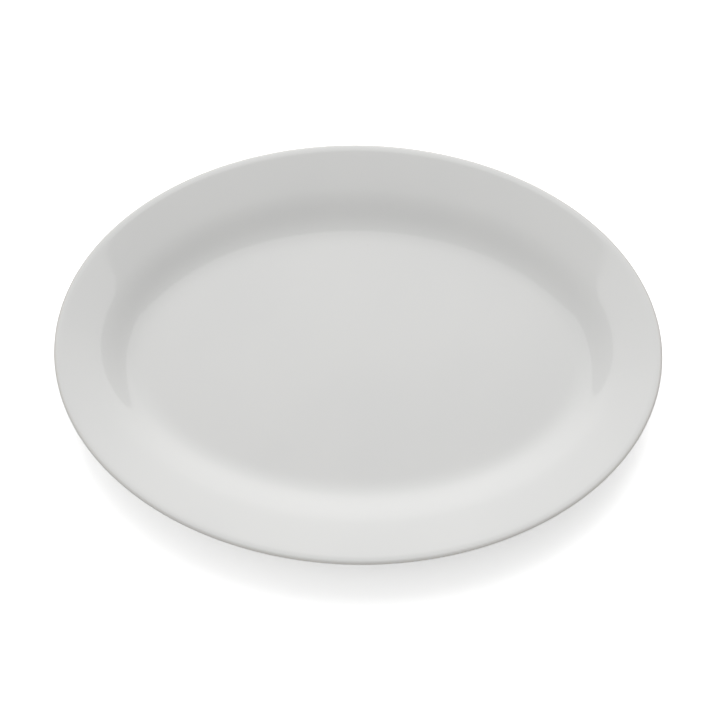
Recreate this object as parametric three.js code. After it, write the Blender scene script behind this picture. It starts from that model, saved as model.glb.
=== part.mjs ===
// Oval china serving platter: a fired clay body with its foot ring, the glaze that wraps its face,
// lip and back, and the glaze inside the foot ring. Millimetres, +Z up, +X along the platter's length.
// The origin is the middle of the bearing face that the foot ring rests on.
import * as THREE from "three";

// Outline of the glazed platter, seen from above: one ellipse, with a smaller one for the flat well.
const length = 355;
const width = 270;
const bandAlongLength = 52.7; // lip to the flat well, measured along the platter's length
const bandAlongWidth = 58.8; // the same, measured across its width

// Side wall between the flat well and the straight rim. Both ends run on smoothly.
const wallHeight = 12.3;
const wallTopInset = 22.2; // where the straight rim begins, in from the lip
const wallFootReach = 15; // how far the curve holds the well's level
const wallTopReach = 14.2; // how far the curve holds the rim's slope
const rimAngle = THREE.MathUtils.degToRad(19.2);

// Lip: a broad shoulder turns the rim level, and a small round nose turns it under.
const shoulderRadius = 10;
const noseRadius = 1.3;

// Clay and glaze.
const wellThickness = 5.2; // glaze to glaze through the flat well
const glazeThickness = 0.3;
const glazeSeat = 0.15; // clearance between the glaze and the clay

// Foot ring, set in from the edge of the flat well.
const footHeight = 3.6;
const footInset = 7;
const footWidth = 5.6; // across the glazed walls
const footFilletRadius = 2.2; // where the walls meet the base
const footTipRadius = 0.9; // rounding of the bare clay beside the bearing face
const glazeLine = 1.2; // height at which the glaze stops above the bearing face
const footLeastStraight = 0.2; // straight wall left between the glaze line and the fillet

// Facets: around the platter, and along each stretch of its profile.
const segmentsRound = 64;
const wallSteps = 6;
const shoulderSteps = 2;
const noseSteps = 3; // above the widest line of the lip, and again below it
const footSteps = 2;

// Places along the length, which every profile is drawn in. Heights are above the bearing face.
const lipReach = length / 2;
const rimReach = lipReach - wallTopInset; // inner edge of the straight rim
const wellReach = lipReach - bandAlongLength;
const footReach = wellReach - footInset;
const footFillet = Math.min(footFilletRadius, footHeight - glazeLine - footLeastStraight);
const footInnerReach = footReach - footWidth / 2 - footFillet;
const wellHeight = footHeight + wellThickness;

// Half width of the ring whose half length is reach. The foot ring keeps one width all the way
// round, and the band outside the well widens from the platter's ends to its sides.
const wellHalfWidth = width / 2 - bandAlongWidth;
const footInnerHalfWidth = wellHalfWidth - (wellReach - footInnerReach);
function halfWidthAt(reach) {
  if (reach > wellReach) {
    return wellHalfWidth + ((reach - wellReach) * bandAlongWidth) / bandAlongLength;
  }
  if (reach > footInnerReach) {
    return wellHalfWidth - (wellReach - reach);
  }
  return (reach * footInnerHalfWidth) / footInnerReach;
}

const point = (reach, height) => new THREE.Vector2(reach, height);

function arc(centre, radius, fromAngle, toAngle, steps) {
  return Array.from({ length: steps + 1 }, (_, i) => {
    const angle = THREE.MathUtils.lerp(fromAngle, toAngle, i / steps);
    return point(centre.x + radius * Math.cos(angle), centre.y + radius * Math.sin(angle));
  });
}

// The S-shaped wall from a level line at start to the rim's slope at end.
function wall(start, end) {
  const curve = new THREE.CubicBezierCurve(
    start,
    point(start.x + wallFootReach, start.y),
    point(end.x - wallTopReach * Math.cos(rimAngle), end.y - wallTopReach * Math.sin(rimAngle)),
    end,
  );
  return curve.getPoints(wallSteps);
}

// Glazed surface from the middle of the well, over the rim and lip, down the back to the foot ring's
// outer wall.
function faceAndBack() {
  const wallTop = point(rimReach, wellHeight + wallHeight);
  const noseX = lipReach - noseRadius;
  const rimAboveNose = wallTop.y + (noseX - wallTop.x) * Math.tan(rimAngle);
  const shoulder = point(noseX, rimAboveNose - shoulderRadius / Math.cos(rimAngle));
  const nose = point(noseX, shoulder.y + shoulderRadius - noseRadius);

  // The back leaves the nose at the rim's angle, then follows the wall down to the base's level.
  const backX = wallTop.x + wellThickness * Math.sin(rimAngle);
  const backBelowNose = noseRadius / Math.cos(rimAngle) + (nose.x - backX) * Math.tan(rimAngle);
  const back = point(backX, nose.y - backBelowNose);
  const backFoot = point(wellReach, footHeight);
  const footWallX = footReach + footWidth / 2;

  return [
    point(0, wellHeight),
    ...wall(point(wellReach, wellHeight), wallTop),
    ...arc(shoulder, shoulderRadius, Math.PI / 2 + rimAngle, Math.PI / 2, shoulderSteps),
    ...arc(nose, noseRadius, Math.PI / 2, 0, noseSteps).slice(1),
    ...arc(nose, noseRadius, 0, rimAngle - Math.PI / 2, noseSteps).slice(1),
    ...wall(backFoot, back).reverse(),
    ...arc(
      point(footWallX + footFillet, footHeight - footFillet),
      footFillet,
      Math.PI / 2,
      Math.PI,
      footSteps,
    ),
    point(footWallX, glazeLine),
  ];
}

// Glazed surface inside the foot ring, from its inner wall to the middle of the base.
function insideFoot() {
  const footWallX = footReach - footWidth / 2;
  return [
    point(footWallX, glazeLine),
    ...arc(
      point(footWallX - footFillet, footHeight - footFillet),
      footFillet,
      0,
      Math.PI / 2,
      footSteps,
    ),
    point(0, footHeight),
  ];
}

// The line that lies depth under a surface line, on its clay side (to the right of its direction).
function under(line, depth) {
  return line.map((here, i) => {
    const before = line[Math.max(i - 1, 0)];
    const after = line[Math.min(i + 1, line.length - 1)];
    const into = here.clone().sub(before).normalize();
    const out = after.clone().sub(here).normalize();
    const along = into.clone().add(out).normalize();
    const halfTurn = Math.max(along.dot(into), along.dot(out));
    return point(
      here.x + (along.y * depth) / halfTurn,
      here.y - (along.x * depth) / halfTurn,
    );
  });
}

// Turns a profile, drawn from the top down, into an oval solid: a lathe about the vertical axis,
// each ring pressed to its own half width.
function ovalSolid(profile) {
  const geometry = new THREE.LatheGeometry([...profile].reverse(), segmentsRound);
  geometry.rotateX(Math.PI / 2);
  const position = geometry.getAttribute("position");
  for (let i = 0; i < position.count; i += 1) {
    const reach = Math.hypot(position.getX(i), position.getY(i));
    const press = reach > 0 ? halfWidthAt(reach) / reach : 1;
    position.setY(i, position.getY(i) * press);
  }
  geometry.computeVertexNormals();
  return geometry;
}

function piece(name, profile, finish) {
  const mesh = new THREE.Mesh(ovalSolid(profile), new THREE.MeshStandardMaterial(finish));
  mesh.name = name;
  return mesh;
}

// Bare clay at the tip of the foot ring, with the flat bearing face between two small roundings.
function footTip(clayDepth) {
  const outerWallX = footReach + footWidth / 2 - clayDepth;
  const innerWallX = footReach - footWidth / 2 + clayDepth;
  return [
    ...arc(point(outerWallX - footTipRadius, footTipRadius), footTipRadius, 0, -Math.PI / 2, footSteps),
    ...arc(
      point(innerWallX + footTipRadius, footTipRadius),
      footTipRadius,
      -Math.PI / 2,
      -Math.PI,
      footSteps,
    ),
  ];
}

const clayDepth = glazeThickness + glazeSeat;
const face = faceAndBack();
const base = insideFoot();

const platter = new THREE.Group();
platter.add(
  piece(
    "china_body",
    [...under(face, clayDepth), ...footTip(clayDepth), ...under(base, clayDepth)],
    { color: 0xe9e4da, roughness: 0.8, metalness: 0 },
  ),
  piece(
    "glaze_coat",
    [...face, ...under(face, glazeThickness).reverse()],
    { color: 0xf3f3f1, roughness: 0.1, metalness: 0 },
  ),
  piece(
    "base_glaze",
    [...under(base, glazeThickness).reverse(), ...base],
    { color: 0xf1f1ee, roughness: 0.15, metalness: 0 },
  ),
);

export default platter;
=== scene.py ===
import math

import bpy
from mathutils import Matrix, Vector


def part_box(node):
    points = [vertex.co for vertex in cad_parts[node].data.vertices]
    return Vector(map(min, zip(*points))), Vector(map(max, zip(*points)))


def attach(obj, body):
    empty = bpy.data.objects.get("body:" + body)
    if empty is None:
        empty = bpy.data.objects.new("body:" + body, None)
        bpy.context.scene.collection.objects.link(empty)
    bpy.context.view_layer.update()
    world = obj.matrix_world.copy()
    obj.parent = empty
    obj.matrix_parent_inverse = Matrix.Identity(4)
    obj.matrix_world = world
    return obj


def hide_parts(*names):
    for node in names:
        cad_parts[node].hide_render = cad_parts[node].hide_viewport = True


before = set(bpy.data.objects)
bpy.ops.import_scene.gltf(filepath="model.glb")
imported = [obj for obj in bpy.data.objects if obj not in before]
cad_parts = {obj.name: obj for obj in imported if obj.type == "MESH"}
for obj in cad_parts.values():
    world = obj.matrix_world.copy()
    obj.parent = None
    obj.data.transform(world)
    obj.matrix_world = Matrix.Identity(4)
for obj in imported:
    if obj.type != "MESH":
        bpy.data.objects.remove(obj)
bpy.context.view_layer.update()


# ---- Fired clay ------------------------------------------------------------------------------
# The body of the platter: one slab of white china clay, jiggered over an oval mould with its foot
# ring, dried and fired. Only the tip of the foot ring is bare; glaze covers all the rest.

glaze_low, glaze_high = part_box("glaze_coat")
base_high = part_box("base_glaze")[1]

LIP_REACH = glaze_high.x
LIP_HALF_WIDTH = glaze_high.y
BAND_ALONG_LENGTH = 0.0527
BAND_ALONG_WIDTH = 0.0588
WELL_REACH = LIP_REACH - BAND_ALONG_LENGTH
WELL_HALF_WIDTH = LIP_HALF_WIDTH - BAND_ALONG_WIDTH

WALL_HEIGHT = 0.0123
WALL_TOP_INSET = 0.0222
WALL_FOOT_REACH = 0.015
WALL_TOP_REACH = 0.0142
RIM_ANGLE = math.radians(19.2)
SHOULDER_RADIUS = 0.01
NOSE_RADIUS = 0.0013

WELL_THICKNESS = 0.0052
GLAZE_THICKNESS = 0.0003
FOOT_HEIGHT = base_high.z - GLAZE_THICKNESS
WELL_HEIGHT = FOOT_HEIGHT + WELL_THICKNESS
FOOT_FILLET = 0.0022
FOOT_INNER_WALL = base_high.x
FOOT_WIDTH = 0.0056
FOOT_OUTER_WALL = FOOT_INNER_WALL + FOOT_WIDTH
FOOT_TIP_RADIUS = 0.0009
GLAZE_LINE = glaze_low.z
GLAZE_SEAT = 0.00015
CLAY_DEPTH = GLAZE_THICKNESS + GLAZE_SEAT

# Facets round the platter and along each stretch of its profile. The level middles of the well and
# of the base have rings at these shares of their reach.
SIDES = 128
WALL_STEPS = 12
BACK_STEPS = 10
SHOULDER_STEPS = 5
NOSE_STEPS = 9
FOOT_STEPS = 4
WELL_RINGS = (0.02, 0.25, 0.5, 0.75, 0.9)
BASE_RINGS = (0.85, 0.6, 0.3, 0.02)


def half_width_at(reach):
    """Half width of the oval ring that reaches this far along the length."""
    if reach > WELL_REACH:
        band_share = (reach - WELL_REACH) / BAND_ALONG_LENGTH
        return WELL_HALF_WIDTH + band_share * BAND_ALONG_WIDTH
    foot_reach = FOOT_INNER_WALL - FOOT_FILLET
    if reach > foot_reach:
        return WELL_HALF_WIDTH - (WELL_REACH - reach)
    return reach * (WELL_HALF_WIDTH - (WELL_REACH - foot_reach)) / foot_reach


def arc(centre, radius, start, end, steps):
    """Points round a centre, from one angle to another."""
    angles = [start + (end - start) * i / steps for i in range(steps + 1)]
    return [centre + radius * Vector((math.cos(a), math.sin(a))) for a in angles]


def wall(start, end, steps):
    """The S-curve from a level line at start to the rim's slope at end."""
    first = start + Vector((WALL_FOOT_REACH, 0))
    second = end - WALL_TOP_REACH * Vector((math.cos(RIM_ANGLE), math.sin(RIM_ANGLE)))
    points = []
    for i in range(steps + 1):
        s = i / steps
        low_end = (1 - s) ** 3 * start + 3 * (1 - s) ** 2 * s * first
        high_end = 3 * (1 - s) * s**2 * second + s**3 * end
        points.append(low_end + high_end)
    return points


def under(line, depth):
    """The line that lies this deep under a surface line, to the right of its direction."""
    sunk = []
    for i, here in enumerate(line):
        into = (here - line[i - 1]).normalized() if i else None
        out = (line[i + 1] - here).normalized() if i + 1 < len(line) else into
        into = into or out
        along = (into + out).normalized()
        sunk.append(here + Vector((along.y, -along.x)) * depth / along.dot(into))
    return sunk


def face_and_back():
    """The glazed surface from the well's middle over the lip and down the back to the foot."""
    wall_top = Vector((LIP_REACH - WALL_TOP_INSET, WELL_HEIGHT + WALL_HEIGHT))
    nose_x = LIP_REACH - NOSE_RADIUS
    rim_above_nose = wall_top.y + (nose_x - wall_top.x) * math.tan(RIM_ANGLE)
    shoulder = Vector((nose_x, rim_above_nose - SHOULDER_RADIUS / math.cos(RIM_ANGLE)))
    nose = Vector((nose_x, shoulder.y + SHOULDER_RADIUS - NOSE_RADIUS))
    back_x = wall_top.x + WELL_THICKNESS * math.sin(RIM_ANGLE)
    back_drop = NOSE_RADIUS / math.cos(RIM_ANGLE) + (nose.x - back_x) * math.tan(RIM_ANGLE)
    back = Vector((back_x, nose.y - back_drop))
    fillet = Vector((FOOT_OUTER_WALL + FOOT_FILLET, FOOT_HEIGHT - FOOT_FILLET))
    up = math.pi / 2
    return [
        *[Vector((WELL_REACH * share, WELL_HEIGHT)) for share in WELL_RINGS],
        *wall(Vector((WELL_REACH, WELL_HEIGHT)), wall_top, WALL_STEPS),
        *arc(shoulder, SHOULDER_RADIUS, up + RIM_ANGLE, up, SHOULDER_STEPS),
        *arc(nose, NOSE_RADIUS, up, RIM_ANGLE - up, NOSE_STEPS)[1:],
        *reversed(wall(Vector((WELL_REACH, FOOT_HEIGHT)), back, BACK_STEPS)),
        *arc(fillet, FOOT_FILLET, up, math.pi, FOOT_STEPS),
        Vector((FOOT_OUTER_WALL, GLAZE_LINE)),
    ]


def inside_foot():
    """The glazed surface from the foot ring's inner wall to the middle of the base."""
    fillet = Vector((FOOT_INNER_WALL - FOOT_FILLET, FOOT_HEIGHT - FOOT_FILLET))
    return [
        Vector((FOOT_INNER_WALL, GLAZE_LINE)),
        *arc(fillet, FOOT_FILLET, 0, math.pi / 2, FOOT_STEPS),
        *[Vector((fillet.x * share, FOOT_HEIGHT)) for share in BASE_RINGS],
    ]


def foot_tip():
    """Bare clay round the bearing face, from the outer wall to the inner one."""
    outer = FOOT_OUTER_WALL - CLAY_DEPTH - FOOT_TIP_RADIUS
    inner = FOOT_INNER_WALL + CLAY_DEPTH + FOOT_TIP_RADIUS
    down = -math.pi / 2
    return [
        *arc(Vector((outer, FOOT_TIP_RADIUS)), FOOT_TIP_RADIUS, 0, down, FOOT_STEPS),
        *arc(Vector((inner, FOOT_TIP_RADIUS)), FOOT_TIP_RADIUS, down, -math.pi, FOOT_STEPS),
    ]


def draw_rings(name, line):
    """A surface pulled ring by ring out of a small disc, each ring pressed to its own oval."""
    bpy.ops.object.select_all(action="DESELECT")
    bpy.ops.mesh.primitive_circle_add(vertices=SIDES, radius=1, fill_type="TRIFAN")
    piece = bpy.context.object
    piece.name = name
    bpy.ops.object.mode_set(mode="EDIT")
    reach, height = line[0]
    bpy.ops.transform.resize(value=(reach, half_width_at(reach), 1))
    bpy.ops.transform.translate(value=(0, 0, height))
    bpy.ops.mesh.region_to_loop()
    for next_reach, next_height in line[1:]:
        bpy.ops.mesh.extrude_edges_move()
        press = half_width_at(next_reach) / half_width_at(reach)
        bpy.ops.transform.resize(value=(next_reach / reach, press, 1))
        bpy.ops.transform.translate(value=(0, 0, next_height - height))
        reach, height = next_reach, next_height
    bpy.ops.object.mode_set(mode="OBJECT")
    return piece


def finish_mesh(piece, thickness=None):
    """Gives a skin its thickness, rounds the facets and shades it smooth."""
    if thickness:
        solidify = piece.modifiers.new("glaze thickness", "SOLIDIFY")
        solidify.thickness = thickness
        solidify.offset = -1
        solidify.use_even_offset = True
        bpy.ops.object.modifier_apply(modifier=solidify.name)
    smooth = piece.modifiers.new("smooth curves", "SUBSURF")
    smooth.levels = smooth.render_levels = 1
    bpy.ops.object.modifier_apply(modifier=smooth.name)
    bpy.ops.object.shade_smooth()


clay_line = [
    *under(face_and_back(), CLAY_DEPTH),
    *foot_tip(),
    *under(inside_foot(), CLAY_DEPTH),
]
fired_clay = draw_rings("fired_clay", clay_line)
bpy.ops.object.mode_set(mode="EDIT")
bpy.ops.mesh.edge_face_add()
bpy.ops.mesh.poke()
bpy.ops.mesh.select_all(action="SELECT")
bpy.ops.mesh.normals_make_consistent(inside=False)
bpy.ops.object.mode_set(mode="OBJECT")
finish_mesh(fired_clay)


def new_group(name, inputs, outputs):
    """An empty node group with named number inputs and their usual values, and named outputs."""
    group = bpy.data.node_groups.new(name, "ShaderNodeTree")
    for label, usual in inputs:
        socket = group.interface.new_socket(label, in_out="INPUT", socket_type="NodeSocketFloat")
        socket.default_value = usual
    for label, kind in outputs:
        group.interface.new_socket(label, in_out="OUTPUT", socket_type=kind)
    group.nodes.new("NodeGroupInput")
    group.nodes.new("NodeGroupOutput")
    return group


def add_node(tree, kind, **settings):
    """A node with its settings given by name; a list or number keyed in_NAME sets that input."""
    node = tree.nodes.new(kind)
    for key, value in settings.items():
        if key.startswith("in_"):
            node.inputs[key[3:].replace("_", " ")].default_value = value
        else:
            setattr(node, key, value)
    return node


def add_math(tree, operation, first, second):
    """One sum of two values; each is a number or another node's output."""
    node = add_node(tree, "ShaderNodeMath", operation=operation)
    for socket, value in zip(node.inputs, (first, second)):
        if isinstance(value, (int, float)):
            socket.default_value = value
        else:
            tree.links.new(value, socket)
    return node.outputs["Value"]


def add_fade(tree, value, start, end, low=0.0, high=1.0):
    """A soft step of a value: low up to start, high from end on."""
    fade = add_node(tree, "ShaderNodeMapRange", interpolation_type="SMOOTHSTEP")
    fade.inputs["From Min"].default_value = start
    fade.inputs["From Max"].default_value = end
    fade.inputs["To Min"].default_value = low
    fade.inputs["To Max"].default_value = high
    tree.links.new(value, fade.inputs["Value"])
    return fade.outputs["Result"]


def add_tint(tree, share, under_colour, over_colour):
    """One colour laid over another by a mask."""
    tint = add_node(tree, "ShaderNodeMix", data_type="RGBA")
    tree.links.new(share, tint.inputs["Factor"])
    for socket, colour in zip((tint.inputs[6], tint.inputs[7]), (under_colour, over_colour)):
        if isinstance(colour, tuple):
            socket.default_value = (*colour, 1)
        else:
            tree.links.new(colour, socket)
    return tint.outputs[2]


def add_noise(tree, place, scale, detail, roughness):
    """A cloudy value from 0 to 1 that changes over the surface."""
    noise = add_node(tree, "ShaderNodeTexNoise", in_Scale=scale, in_Detail=detail)
    noise.inputs["Roughness"].default_value = roughness
    tree.links.new(place, noise.inputs["Vector"])
    return noise.outputs["Fac"]


def add_height(tree, place):
    """Height above the table."""
    split = add_node(tree, "ShaderNodeSeparateXYZ")
    tree.links.new(place, split.inputs["Vector"])
    return split.outputs["Z"]


def add_specks(tree, colour, speck_colour, per_metre, radius, strength=1.0):
    """Specks of this size and number, laid over a colour."""
    specks = add_node(tree, "ShaderNodeGroup", node_tree=kiln_specks)
    specks.inputs["Specks per Metre"].default_value = per_metre
    specks.inputs["Speck Radius"].default_value = radius
    share = add_math(tree, "MULTIPLY", specks.outputs["Speck"], strength)
    return add_tint(tree, share, colour, speck_colour)


def start_material(name):
    """A new material, its node tree, its shader, and the place on the piece in metres."""
    material = bpy.data.materials.new(name)
    material.use_nodes = True
    tree = material.node_tree
    place = add_node(tree, "ShaderNodeTexCoord").outputs["Object"]
    return material, tree, tree.nodes["Principled BSDF"], place


# Specks of iron and of kiln dust, which are scattered through both the clay and the glaze.
SPECK_CORE = 0.6

kiln_specks = new_group(
    "kiln_specks",
    [("Specks per Metre", 90.0), ("Speck Radius", 0.0003)],
    [("Speck", "NodeSocketFloat")],
)
given = kiln_specks.nodes["Group Input"].outputs
cells = add_node(kiln_specks, "ShaderNodeTexVoronoi")
place = add_node(kiln_specks, "ShaderNodeTexCoord").outputs["Object"]
kiln_specks.links.new(place, cells.inputs["Vector"])
kiln_specks.links.new(given["Specks per Metre"], cells.inputs["Scale"])
reach_in_cells = add_math(
    kiln_specks, "MULTIPLY", given["Specks per Metre"], given["Speck Radius"]
)
from_middle = add_math(kiln_specks, "DIVIDE", cells.outputs["Distance"], reach_in_cells)
kiln_specks.links.new(
    add_fade(kiln_specks, from_middle, SPECK_CORE, 1.0, 1.0, 0.0),
    kiln_specks.nodes["Group Output"].inputs["Speck"],
)

CLAY_WHITE = (0.72, 0.69, 0.63)
CLAY_CREAM = (0.66, 0.61, 0.53)
CLAY_IRON = (0.28, 0.2, 0.13)
SHELF_GREY = (0.5, 0.48, 0.45)
CLAY_ROUGHNESS = 0.85
GROUND_ROUGHNESS = 0.62
CLOUD_FADE = (0.35, 0.7)
GRAIN_FADE = (0.55, 0.8)
GRAIN_SHARE = 0.25
GRAIN_HEIGHT = 0.00006

bare_china, tree, bare, place = start_material("bare_china")

# Cream clouds in the white clay, and a sandy grain as fine as the clay's own.
clouds = add_noise(tree, place, scale=110, detail=4, roughness=0.6)
grain = add_noise(tree, place, scale=2400, detail=3, roughness=0.7)
clay_colour = add_tint(tree, add_fade(tree, clouds, *CLOUD_FADE), CLAY_WHITE, CLAY_CREAM)
grain_share = add_fade(tree, grain, *GRAIN_FADE, 0.0, GRAIN_SHARE)
clay_colour = add_tint(tree, grain_share, clay_colour, SHELF_GREY)
clay_colour = add_specks(tree, clay_colour, CLAY_IRON, per_metre=260, radius=0.00022)

# The bearing face is ground flat, so it is smoother, and it picks up grey from shelves and tables.
GROUND_BELOW = (0.00008, 0.00035)
RUB_FADE = (0.3, 0.6)
RUB_SHARES = (0.25, 0.6)
ground = add_fade(tree, add_height(tree, place), *GROUND_BELOW, 1.0, 0.0)
rubbed = add_math(tree, "MULTIPLY", ground, add_fade(tree, clouds, *RUB_FADE, *RUB_SHARES))
clay_colour = add_tint(tree, rubbed, clay_colour, SHELF_GREY)
tree.links.new(clay_colour, bare.inputs["Base Color"])
tree.links.new(
    add_fade(tree, ground, 0, 1, CLAY_ROUGHNESS, GROUND_ROUGHNESS), bare.inputs["Roughness"]
)
clay_bump = add_node(tree, "ShaderNodeBump", in_Strength=1.0, in_Distance=GRAIN_HEIGHT)
tree.links.new(grain, clay_bump.inputs["Height"])
tree.links.new(clay_bump.outputs["Normal"], bare.inputs["Normal"])
fired_clay.data.materials.append(bare_china)

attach(fired_clay, "root")
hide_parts("china_body")


# ---- Glaze over the face, lip and back -------------------------------------------------------
# White china glaze: a thin glass coat, melted on in the kiln, that runs without a seam from the
# well over the lip and down the back. It was wiped off just above the foot's bearing face.

glaze_coat = draw_rings("glaze_over_face_and_back", face_and_back())
finish_mesh(glaze_coat, GLAZE_THICKNESS)

# A melted surface is never quite flat: it has long soft waves, a very fine orange peel, and here
# and there a pinhole where a bubble burst. Smears from handling make its gloss uneven.
PINHOLES_PER_METRE = 120
PINHOLE_RADIUS = 0.00025
SMEAR_FADE = (0.3, 0.7)

glaze_skin = new_group(
    "glaze_skin",
    [("Wave Height", 0.00004), ("Peel Height", 0.0000012), ("Pinhole Depth", 0.00003)],
    [("Normal", "NodeSocketVector"), ("Uneven Gloss", "NodeSocketFloat")],
)
given = glaze_skin.nodes["Group Input"].outputs
made = glaze_skin.nodes["Group Output"].inputs
place = add_node(glaze_skin, "ShaderNodeTexCoord").outputs["Object"]
waves = add_noise(glaze_skin, place, scale=34, detail=1, roughness=0.4)
peel = add_noise(glaze_skin, place, scale=850, detail=1, roughness=0.5)
smears = add_noise(glaze_skin, place, scale=55, detail=5, roughness=0.65)
pinholes = add_node(glaze_skin, "ShaderNodeGroup", node_tree=kiln_specks)
pinholes.inputs["Specks per Metre"].default_value = PINHOLES_PER_METRE
pinholes.inputs["Speck Radius"].default_value = PINHOLE_RADIUS
wave_rise = add_math(glaze_skin, "MULTIPLY", waves, given["Wave Height"])
peel_rise = add_math(glaze_skin, "MULTIPLY", peel, given["Peel Height"])
pinhole_fall = add_math(glaze_skin, "MULTIPLY", pinholes.outputs["Speck"], given["Pinhole Depth"])
rise = add_math(glaze_skin, "ADD", wave_rise, peel_rise)
rise = add_math(glaze_skin, "SUBTRACT", rise, pinhole_fall)
relief = add_node(glaze_skin, "ShaderNodeBump", in_Strength=1.0, in_Distance=1.0)
glaze_skin.links.new(rise, relief.inputs["Height"])
glaze_skin.links.new(relief.outputs["Normal"], made["Normal"])
glaze_skin.links.new(add_fade(glaze_skin, smears, *SMEAR_FADE), made["Uneven Gloss"])

# Where the glaze ends at the foot it runs thin, and the warmer clay shows through it. It was wiped
# by hand with a sponge, so this edge wanders a little.
thin_at_foot = new_group(
    "thin_at_foot",
    [("Glaze Line", 0.0012), ("Thin Height", 0.0006), ("Wander", 0.0006)],
    [("Thin", "NodeSocketFloat")],
)
given = thin_at_foot.nodes["Group Input"].outputs
place = add_node(thin_at_foot, "ShaderNodeTexCoord").outputs["Object"]
height = add_height(thin_at_foot, place)
wiping = add_noise(thin_at_foot, place, scale=95, detail=2, roughness=0.5)
wander = add_math(thin_at_foot, "MULTIPLY", wiping, given["Wander"])
above_line = add_math(thin_at_foot, "SUBTRACT", height, given["Glaze Line"])
above_line = add_math(thin_at_foot, "SUBTRACT", above_line, wander)
above_share = add_math(thin_at_foot, "DIVIDE", above_line, given["Thin Height"])
thin_at_foot.links.new(
    add_fade(thin_at_foot, above_share, 0, 1, 1.0, 0.0),
    thin_at_foot.nodes["Group Output"].inputs["Thin"],
)

GLAZE_WHITE = (0.8, 0.8, 0.787)
GLAZE_CLOUD = (0.785, 0.786, 0.775)
# Pooled glaze with painted shade, for the crease at the foot of the side wall.
GLAZE_POOLED_AND_SHADED = (0.786, 0.79, 0.776)
CLAY_THROUGH_GLAZE = (0.79, 0.75, 0.68)
IRON_THROUGH_GLAZE = (0.42, 0.36, 0.29)
GLOSS_ROUGHNESS = (0.05, 0.085)
GLAZE_IOR = 1.5


def add_wiped_edge(tree, colour, strength=0.8):
    """The thin edge of the glaze at the foot, laid over the glaze's colour."""
    edge = add_node(tree, "ShaderNodeGroup", node_tree=thin_at_foot)
    edge.inputs["Glaze Line"].default_value = GLAZE_LINE
    share = add_math(tree, "MULTIPLY", edge.outputs["Thin"], strength)
    return add_tint(tree, share, colour, CLAY_THROUGH_GLAZE)


def add_oval_distance(tree, place, scale):
    """Distance from the middle, seen from above, with each axis scaled first."""
    oval = add_node(tree, "ShaderNodeMapping", vector_type="POINT", in_Scale=scale)
    tree.links.new(place, oval.inputs["Vector"])
    distance = add_node(tree, "ShaderNodeVectorMath", operation="LENGTH")
    tree.links.new(oval.outputs["Vector"], distance.inputs["Vector"])
    return distance.outputs["Value"]


white_glaze, tree, shine, place = start_material("white_glaze")
shine.inputs["IOR"].default_value = GLAZE_IOR

# Faint clouds in the white, as long as a finger.
clouds = add_noise(tree, place, scale=13, detail=3, roughness=0.5)
glaze_colour = add_tint(tree, add_fade(tree, clouds, *CLOUD_FADE), GLAZE_WHITE, GLAZE_CLOUD)

# The glaze gathers at the foot of the side wall, and painted shade lies in that crease too: the white
# there is a little darker and greener.
POOL_AND_SHADE_ABOVE_WELL = 0.0012
POOL_AND_SHADE_SHARE = 0.6
pool_and_shade_height = WELL_HEIGHT + POOL_AND_SHADE_ABOVE_WELL
off_middle = add_math(tree, "SUBTRACT", add_height(tree, place), pool_and_shade_height)
off_middle = add_math(tree, "ABSOLUTE", off_middle, 0)
pool_and_shade = add_fade(tree, off_middle, 0, POOL_AND_SHADE_ABOVE_WELL, POOL_AND_SHADE_SHARE, 0.0)
# Lays the painted shade and pooled-glaze tint into the crease.
glaze_colour = add_tint(tree, pool_and_shade, glaze_colour, GLAZE_POOLED_AND_SHADED)

# It runs thin over the nose of the lip. The nose is the oval ring just inside the outline.
LIP_THIN_FROM = 0.985
LIP_THIN_SHARE = 0.4
from_centre = add_oval_distance(tree, place, (1 / LIP_REACH, 1 / LIP_HALF_WIDTH, 0))
thin_at_lip = add_fade(tree, from_centre, LIP_THIN_FROM, 1.0, 0.0, LIP_THIN_SHARE)
glaze_colour = add_tint(tree, thin_at_lip, glaze_colour, CLAY_THROUGH_GLAZE)
glaze_colour = add_wiped_edge(tree, glaze_colour)
glaze_colour = add_specks(
    tree, glaze_colour, IRON_THROUGH_GLAZE, per_metre=50, radius=0.0002, strength=0.5
)
tree.links.new(glaze_colour, shine.inputs["Base Color"])

skin = add_node(tree, "ShaderNodeGroup", node_tree=glaze_skin)
tree.links.new(
    add_fade(tree, skin.outputs["Uneven Gloss"], 0, 1, *GLOSS_ROUGHNESS), shine.inputs["Roughness"]
)
tree.links.new(skin.outputs["Normal"], shine.inputs["Normal"])
glaze_coat.data.materials.append(white_glaze)

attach(glaze_coat, "root")
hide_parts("glaze_coat")


# ---- Glaze inside the foot ring --------------------------------------------------------------
# The same glaze on the base, cut off from the rest by the bare foot. It gets a thinner, rougher
# coat there, and nobody polishes it.

base_glaze = draw_rings("glaze_inside_foot", list(reversed(inside_foot())))
bpy.ops.object.mode_set(mode="EDIT")
bpy.ops.mesh.select_all(action="SELECT")
bpy.ops.mesh.flip_normals()
bpy.ops.object.mode_set(mode="OBJECT")
finish_mesh(base_glaze, GLAZE_THICKNESS)

BASE_WHITE = (0.78, 0.778, 0.758)
BASE_CLOUD = (0.75, 0.747, 0.72)
BASE_ROUGHNESS = (0.09, 0.17)
BASE_WAVE_HEIGHT = 0.00007
BASE_PEEL_HEIGHT = 0.000003
BASE_PINHOLE_DEPTH = 0.00006
FORMING_RING_SPACING = 0.0031
FORMING_RING_HEIGHT = 0.000008

base_white_glaze, tree, shine, place = start_material("base_white_glaze")
shine.inputs["IOR"].default_value = GLAZE_IOR
clouds = add_noise(tree, place, scale=26, detail=4, roughness=0.6)
glaze_colour = add_tint(tree, add_fade(tree, clouds, *CLOUD_FADE), BASE_WHITE, BASE_CLOUD)
glaze_colour = add_wiped_edge(tree, glaze_colour)
glaze_colour = add_specks(
    tree, glaze_colour, IRON_THROUGH_GLAZE, per_metre=110, radius=0.00028, strength=0.6
)
tree.links.new(glaze_colour, shine.inputs["Base Color"])

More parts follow.
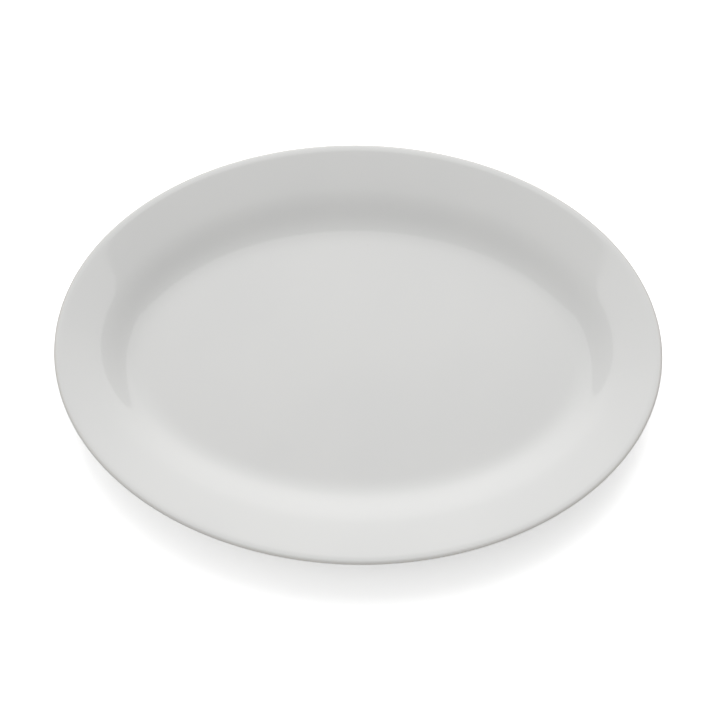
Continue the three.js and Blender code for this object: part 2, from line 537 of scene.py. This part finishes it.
# Shallow oval rings from the forming tool still show under the thinner glaze of the base.
from_centre = add_oval_distance(tree, place, (1, WELL_REACH / WELL_HALF_WIDTH, 0))
turns = add_math(tree, "MULTIPLY", from_centre, 2 * math.pi / FORMING_RING_SPACING)
rings = add_math(tree, "MULTIPLY", add_math(tree, "SINE", turns, 0), FORMING_RING_HEIGHT)
skin = add_node(tree, "ShaderNodeGroup", node_tree=glaze_skin)
skin.inputs["Wave Height"].default_value = BASE_WAVE_HEIGHT
skin.inputs["Peel Height"].default_value = BASE_PEEL_HEIGHT
skin.inputs["Pinhole Depth"].default_value = BASE_PINHOLE_DEPTH
ring_relief = add_node(tree, "ShaderNodeBump", in_Strength=1.0, in_Distance=1.0)
tree.links.new(rings, ring_relief.inputs["Height"])
tree.links.new(skin.outputs["Normal"], ring_relief.inputs["Normal"])
tree.links.new(ring_relief.outputs["Normal"], shine.inputs["Normal"])
tree.links.new(
    add_fade(tree, skin.outputs["Uneven Gloss"], 0, 1, *BASE_ROUGHNESS), shine.inputs["Roughness"]
)
base_glaze.data.materials.append(base_white_glaze)

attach(base_glaze, "root")
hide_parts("base_glaze")


# ---- Table, lights and camera ----------------------------------------------------------------
# A white table, one big soft light above and behind, and pale walls that are brightest low down
# behind and in front. The camera sees the table and the walls as plain white.

TABLE_SIZE = 12
TABLE_PAINT = 0.85
TABLE_SEEN = 2.14

bpy.ops.object.select_all(action="DESELECT")
bpy.ops.mesh.primitive_plane_add(size=TABLE_SIZE)
table = bpy.context.object
table.name = "white_table"

table_white = bpy.data.materials.new("table_white")
table_white.use_nodes = True
nodes = table_white.node_tree.nodes
links = table_white.node_tree.links
nodes.remove(nodes["Principled BSDF"])
table_paint = nodes.new("ShaderNodeBsdfDiffuse")
table_paint.inputs["Color"].default_value = (TABLE_PAINT, TABLE_PAINT, TABLE_PAINT, 1)
table_seen = nodes.new("ShaderNodeBsdfDiffuse")
table_seen.inputs["Color"].default_value = (TABLE_SEEN, TABLE_SEEN, TABLE_SEEN, 1)
table_ray = nodes.new("ShaderNodeLightPath")
table_mix = nodes.new("ShaderNodeMixShader")
links.new(table_ray.outputs["Is Camera Ray"], table_mix.inputs["Fac"])
links.new(table_paint.outputs["BSDF"], table_mix.inputs[1])
links.new(table_seen.outputs["BSDF"], table_mix.inputs[2])
links.new(table_mix.outputs["Shader"], nodes["Material Output"].inputs["Surface"])
table.data.materials.append(table_white)

WELL_FLOOR = Vector((0, 0, WELL_HEIGHT))
SOFTBOX_SIZE = (0.75, 0.9)
SOFTBOX_POWER = 2.1
SOFTBOX_PLACE = (-0.025, 0.46, 0.4644)

softbox_data = bpy.data.lights.new("softbox", "AREA")
softbox_data.shape = "RECTANGLE"
softbox_data.size, softbox_data.size_y = SOFTBOX_SIZE
softbox_data.energy = SOFTBOX_POWER
softbox = bpy.data.objects.new("softbox", softbox_data)
softbox.location = Vector(SOFTBOX_PLACE)
softbox.rotation_euler = (WELL_FLOOR - softbox.location).to_track_quat("-Z", "Y").to_euler()
bpy.context.collection.objects.link(softbox)

# Each lit wall: its turn from the back and its height in degrees, its strength, and how narrow it is.
ROOM_LEVEL = 0.37
ROOM_LIGHTS = (
    ("back wall", 0, 25, 1.26, 8),
    ("left wall", -90, 15, 0.29, 4),
    ("front wall", 180, 30, 0.2, 2),
)

room = bpy.data.worlds.new("studio")
room.use_nodes = True
tree = room.node_tree
links = tree.links
background = tree.nodes["Background"]
direction = add_node(tree, "ShaderNodeTexCoord").outputs["Generated"]
level = None
for name, turn, height, strength, narrowness in ROOM_LIGHTS:
    turn, height = math.radians(turn), math.radians(height)
    facing = add_node(tree, "ShaderNodeVectorMath", label=name, operation="DOT_PRODUCT")
    facing.inputs[1].default_value = (
        math.sin(turn) * math.cos(height),
        math.cos(turn) * math.cos(height),
        math.sin(height),
    )
    links.new(direction, facing.inputs[0])
    lit_side = add_math(tree, "MAXIMUM", facing.outputs["Value"], 0)
    falloff = add_math(tree, "POWER", lit_side, narrowness)
    total = add_node(tree, "ShaderNodeMath", operation="MULTIPLY_ADD")
    total.inputs[1].default_value = strength
    total.inputs[2].default_value = ROOM_LEVEL
    links.new(falloff, total.inputs[0])
    if level:
        links.new(level, total.inputs[2])
    level = total.outputs["Value"]
seen_white = add_node(tree, "ShaderNodeMix", label="plain white to the camera")
seen_white.inputs["B"].default_value = 1
seen_by = add_node(tree, "ShaderNodeLightPath")
links.new(seen_by.outputs["Is Camera Ray"], seen_white.inputs["Factor"])
links.new(level, seen_white.inputs["A"])
links.new(seen_white.outputs["Result"], background.inputs["Strength"])
background.inputs["Color"].default_value = (1, 1, 1, 1)
bpy.context.scene.world = room

CAMERA_ELEVATION = math.radians(65.23)
CAMERA_DISTANCE = 1.1537
CAMERA_ROLL = 0.017
CAMERA_LENS = 97.44
CAMERA_SENSOR = 36
CAMERA_SHIFT = (0.0026, -0.0037)

camera_data = bpy.data.cameras.new("camera")
camera_data.sensor_width = CAMERA_SENSOR
camera_data.lens = CAMERA_LENS
camera_data.shift_x, camera_data.shift_y = CAMERA_SHIFT
camera = bpy.data.objects.new("camera", camera_data)
camera.matrix_world = (
    Matrix.Translation(WELL_FLOOR)
    @ Matrix.Rotation(math.pi / 2 - CAMERA_ELEVATION, 4, "X")
    @ Matrix.Translation((0, 0, CAMERA_DISTANCE))
    @ Matrix.Rotation(CAMERA_ROLL, 4, "Z")
)
bpy.context.collection.objects.link(camera)
bpy.context.scene.camera = camera
bpy.context.scene.view_settings.view_transform = "Standard"
